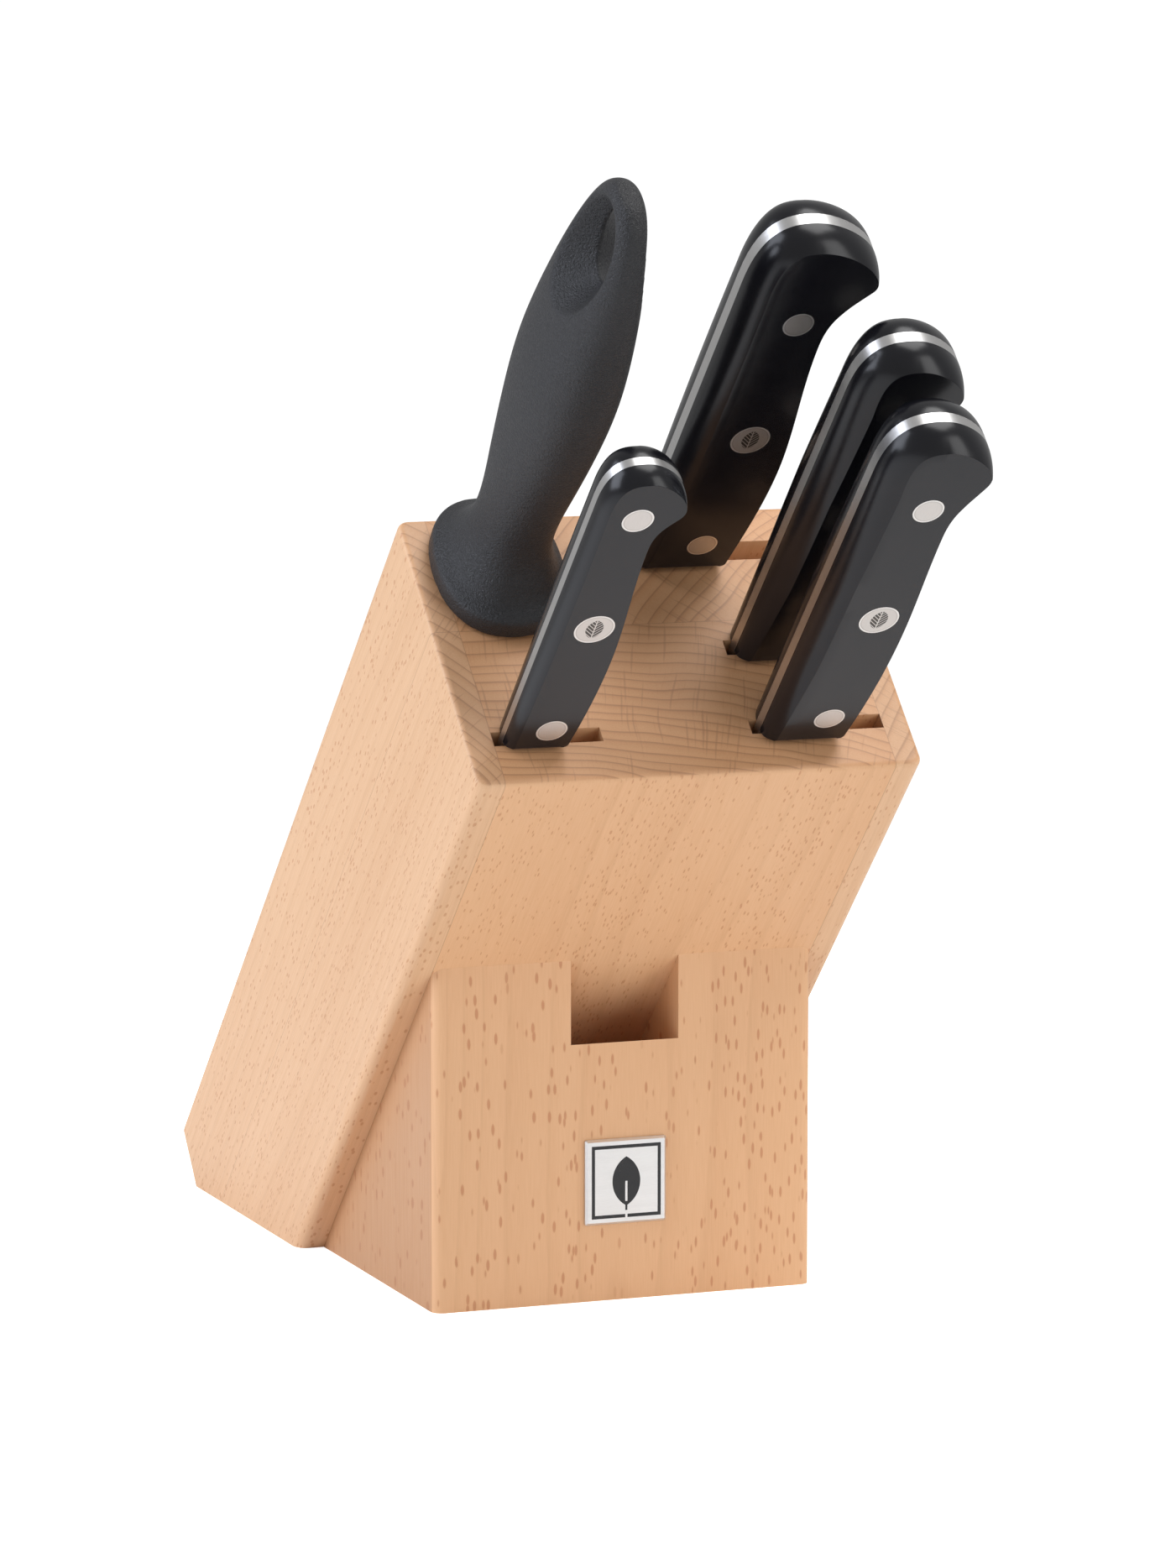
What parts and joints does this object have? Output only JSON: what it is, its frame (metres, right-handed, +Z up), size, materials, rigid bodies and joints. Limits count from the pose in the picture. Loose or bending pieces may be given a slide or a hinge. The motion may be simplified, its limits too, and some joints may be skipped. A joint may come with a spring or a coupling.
{
  "type": "knife block with knives",
  "caption": "Leaning wooden knife block on a wedge stand with a shears pocket, holding full-tang riveted knives and a sharpening steel that slide out along the slots.",
  "frame": {"origin": "on the floor, in the mid-plane, at the middle of the stand's foot ahead of the shears pocket", "axes": "+Z up, -Y towards the front that the handles lean to, +X to the right seen from the front"},
  "size_m": [0.12, 0.3286, 0.2954],
  "materials": {
    "beech_panels": "satin",
    "beech_core": "satin",
    "beech_stand": "satin",
    "beech_dowels": "raw",
    "badge_metal": "satin",
    "badge_enamel": "gloss",
    "blade_steel": "brushed",
    "handle_scales": "satin",
    "rivets": "brushed",
    "rod_steel": "brushed",
    "steel_grip": "fine grain"
  },
  "bodies": {
    "block": {"side_panel_left": "beech_panels", "side_panel_right": "beech_panels", "core_front": "beech_core", "core_rear": "beech_core", "stand_wedge": "beech_stand", "stand_dowels": "beech_dowels", "badge_plate": "badge_metal", "badge_enamel": "badge_enamel"},
    "paring_knife": {"paring_blade": "blade_steel", "paring_scale_near": "handle_scales", "paring_scale_far": "handle_scales", "paring_end_rivets": "rivets", "paring_centre_rivet": "rivets"},
    "carving_knife": {"carving_blade": "blade_steel", "carving_scale_near": "handle_scales", "carving_scale_far": "handle_scales", "carving_end_rivets": "rivets", "carving_centre_rivet": "rivets"},
    "bread_knife": {"bread_blade": "blade_steel", "bread_scale_near": "handle_scales", "bread_scale_far": "handle_scales", "bread_end_rivets": "rivets", "bread_centre_rivet": "rivets"},
    "chef_knife": {"chef_blade": "blade_steel", "chef_scale_near": "handle_scales", "chef_scale_far": "handle_scales", "chef_end_rivets": "rivets", "chef_centre_rivet": "rivets"},
    "sharpening_steel": {"steel_rod": "rod_steel", "steel_handle": "steel_grip"}
  },
  "joints": [
    {"name": "paring_knife_draw", "type": "slide", "parent": "block", "child": "paring_knife", "axis": [0, -0.7071, 0.7071], "range_m": [0, 0.105]},
    {"name": "carving_knife_draw", "type": "slide", "parent": "block", "child": "carving_knife", "axis": [0, -0.7071, 0.7071], "range_m": [0, 0.19]},
    {"name": "bread_knife_draw", "type": "slide", "parent": "block", "child": "bread_knife", "axis": [0, -0.7071, 0.7071], "range_m": [0, 0.205]},
    {"name": "chef_knife_draw", "type": "slide", "parent": "block", "child": "chef_knife", "axis": [0, -0.7071, 0.7071], "range_m": [0, 0.21]},
    {"name": "sharpening_steel_draw", "type": "slide", "parent": "block", "child": "sharpening_steel", "axis": [0, -0.7071, 0.7071], "range_m": [0, 0.235]}
  ]
}
